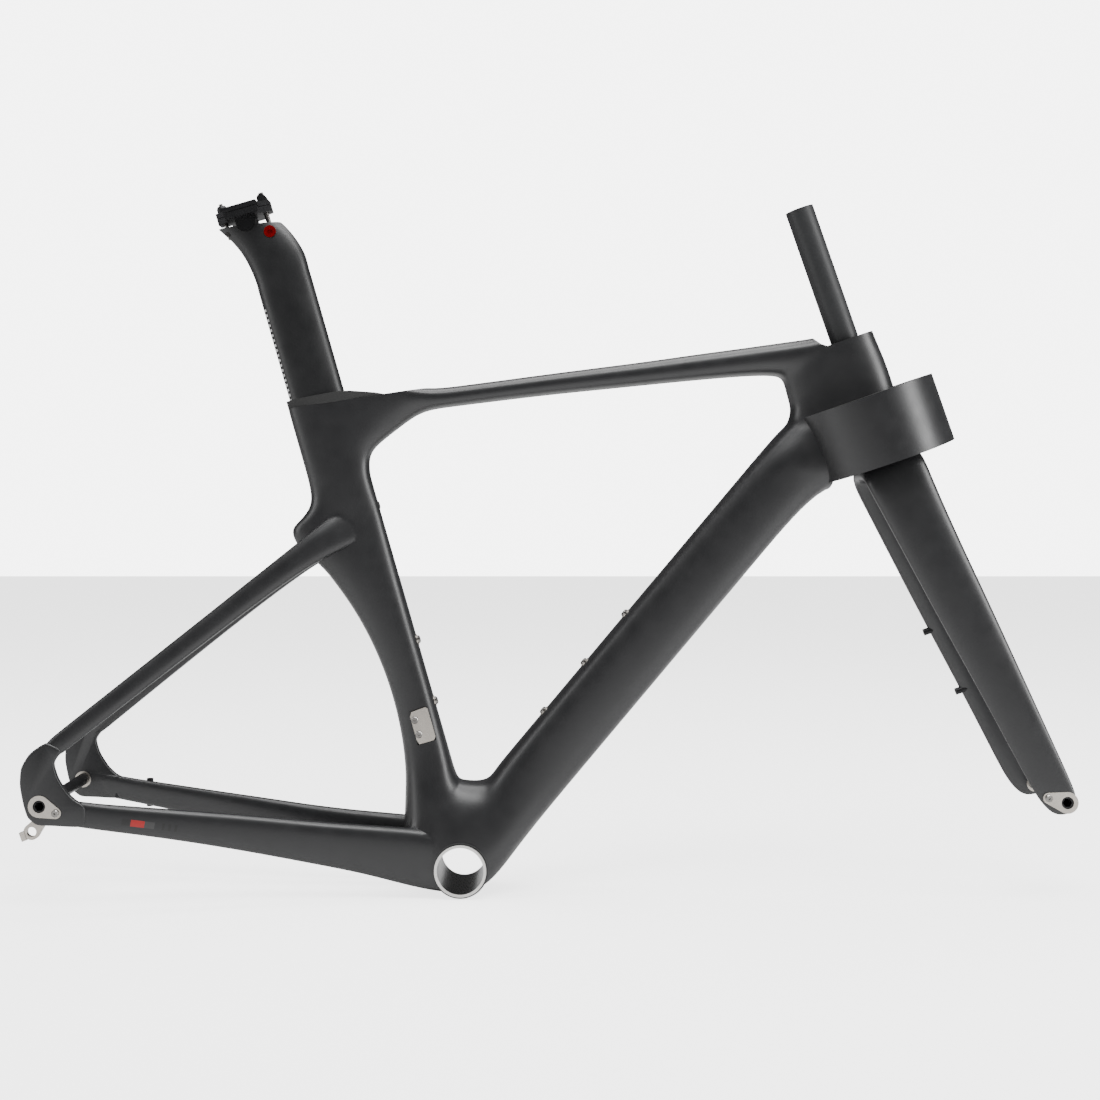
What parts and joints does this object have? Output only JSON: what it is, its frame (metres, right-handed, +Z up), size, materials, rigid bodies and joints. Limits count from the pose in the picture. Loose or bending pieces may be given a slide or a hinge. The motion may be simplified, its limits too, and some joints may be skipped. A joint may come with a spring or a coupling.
{
  "type": "bicycle frame",
  "caption": "Aero road bicycle frameset with disc fork, steerer, aero seatpost, saddle clamp, derailleur hanger and through axles.",
  "frame": {"origin": "centre of the bottom bracket, midway across the shell", "axes": "+X forward, +Y to the rider's left, +Z up; the drive side faces -Y"},
  "size_m": [1.0267, 0.1631, 0.7028],
  "materials": {
    "satin_carbon": "satin clear coat over carbon laminate",
    "post_carbon": "matt black carbon laminate",
    "raw_carbon": "bare moulded carbon",
    "silver_alloy": "bead blasted",
    "bolt_steel": "turned",
    "bearing_steel": "ground",
    "black_alloy": "black anodised",
    "red_alloy": "red anodised",
    "soft_rubber": "moulded"
  },
  "bodies": {
    "frame": {"head_tube": "satin_carbon", "top_tube": "satin_carbon", "down_tube": "satin_carbon", "seat_tube": "satin_carbon", "seatstay_yoke": "satin_carbon", "bottom_bracket_shell": "satin_carbon", "bottom_bracket_sleeve": "silver_alloy", "chainstay_right": "satin_carbon", "chainstay_left": "satin_carbon", "seatstay_right": "satin_carbon", "seatstay_left": "satin_carbon", "dropout_right": "satin_carbon", "dropout_left": "satin_carbon", "rear_axle_insert": "silver_alloy", "rear_insert_screw": "bolt_steel", "rear_axle_bush": "silver_alloy", "derailleur_hanger": "silver_alloy", "front_derailleur_mount": "silver_alloy", "front_derailleur_screws": "bolt_steel", "bottle_boss_inserts": "silver_alloy", "bottle_boss_bolts": "bolt_steel", "brake_mount_inserts": "silver_alloy", "seat_clamp_wedge": "black_alloy", "seat_clamp_bolt": "bolt_steel", "seat_collar_cover": "soft_rubber", "cable_grommet": "soft_rubber", "seat_tube_plug": "soft_rubber", "upper_bearing_outer_race": "bearing_steel", "lower_bearing_outer_race": "bearing_steel", "headset_seal": "soft_rubber"},
    "fork": {"steerer_tube": "raw_carbon", "fork_crown": "satin_carbon", "fork_blade_right": "satin_carbon", "fork_blade_left": "satin_carbon", "crown_race": "black_alloy", "upper_bearing_inner_race": "bearing_steel", "lower_bearing_inner_race": "bearing_steel", "compression_ring": "black_alloy", "front_axle_insert": "silver_alloy", "front_insert_screw": "bolt_steel", "front_axle_bush": "silver_alloy", "fork_brake_inserts": "silver_alloy"},
    "upper_balls": {"upper_bearing_balls": "bearing_steel"},
    "lower_balls": {"lower_bearing_balls": "bearing_steel"},
    "front_axle": {"front_thru_axle": "black_alloy"},
    "rear_axle": {"rear_thru_axle": "black_alloy"},
    "seatpost": {"seatpost": "post_carbon"},
    "saddle_clamp": {"saddle_cradle": "black_alloy", "saddle_top_clamp": "black_alloy", "front_clamp_nut": "black_alloy", "rear_clamp_nut": "black_alloy"},
    "front_bolt": {"clamp_barrel_nut": "red_alloy", "front_clamp_bolt": "bolt_steel"},
    "rear_bolt": {"rear_pivot_pin": "bolt_steel", "rear_clamp_bolt": "bolt_steel"}
  },
  "joints": [
    {"name": "steering", "type": "hinge", "parent": "frame", "child": "fork", "pos_m": [0.386, 0, 0.526], "axis": [-0.3289, 0, 0.9444], "range_deg": [-70, 70]},
    {"name": "upper_balls_orbit", "type": "hinge", "parent": "frame", "child": "upper_balls", "pos_m": [0.386, 0, 0.526], "axis": [-0.3289, 0, 0.9444], "range_deg": [-33, 33]},
    {"name": "lower_balls_orbit", "type": "hinge", "parent": "frame", "child": "lower_balls", "pos_m": [0.386, 0, 0.526], "axis": [-0.3289, 0, 0.9444], "range_deg": [-33, 33]},
    {"name": "seatpost_height", "type": "slide", "parent": "frame", "child": "seatpost", "axis": [-0.2756, 0, 0.9613], "range_m": [-0.07, 0.04]},
    {"name": "saddle_tilt", "type": "hinge", "parent": "seatpost", "child": "saddle_clamp", "pos_m": [-0.21688, 0, 0.64444], "axis": [0, 1, 0], "range_deg": [-5, 5]},
    {"name": "front_bolt_swing", "type": "hinge", "parent": "seatpost", "child": "front_bolt", "pos_m": [-0.19209, 0, 0.63417], "axis": [0, 1, 0], "range_deg": [-3, 3]},
    {"name": "rear_bolt_swing", "type": "hinge", "parent": "seatpost", "child": "rear_bolt", "pos_m": [-0.235, 0, 0.63144], "axis": [0, 1, 0], "range_deg": [-4, 4]},
    {"name": "front_axle_pull", "type": "slide", "parent": "fork", "child": "front_axle", "axis": [0, 1, 0], "range_m": [0, 0.13]},
    {"name": "rear_axle_pull", "type": "slide", "parent": "frame", "child": "rear_axle", "axis": [0, 1, 0], "range_m": [0, 0.17]}
  ],
  "couplings": [
    {"joint": "upper_balls_orbit", "follows": "steering", "ratio": 0.4458},
    {"joint": "lower_balls_orbit", "follows": "steering", "ratio": 0.4576},
    {"joint": "front_bolt_swing", "follows": "saddle_tilt", "ratio": 0.47},
    {"joint": "rear_bolt_swing", "follows": "saddle_tilt", "ratio": 0.62}
  ]
}
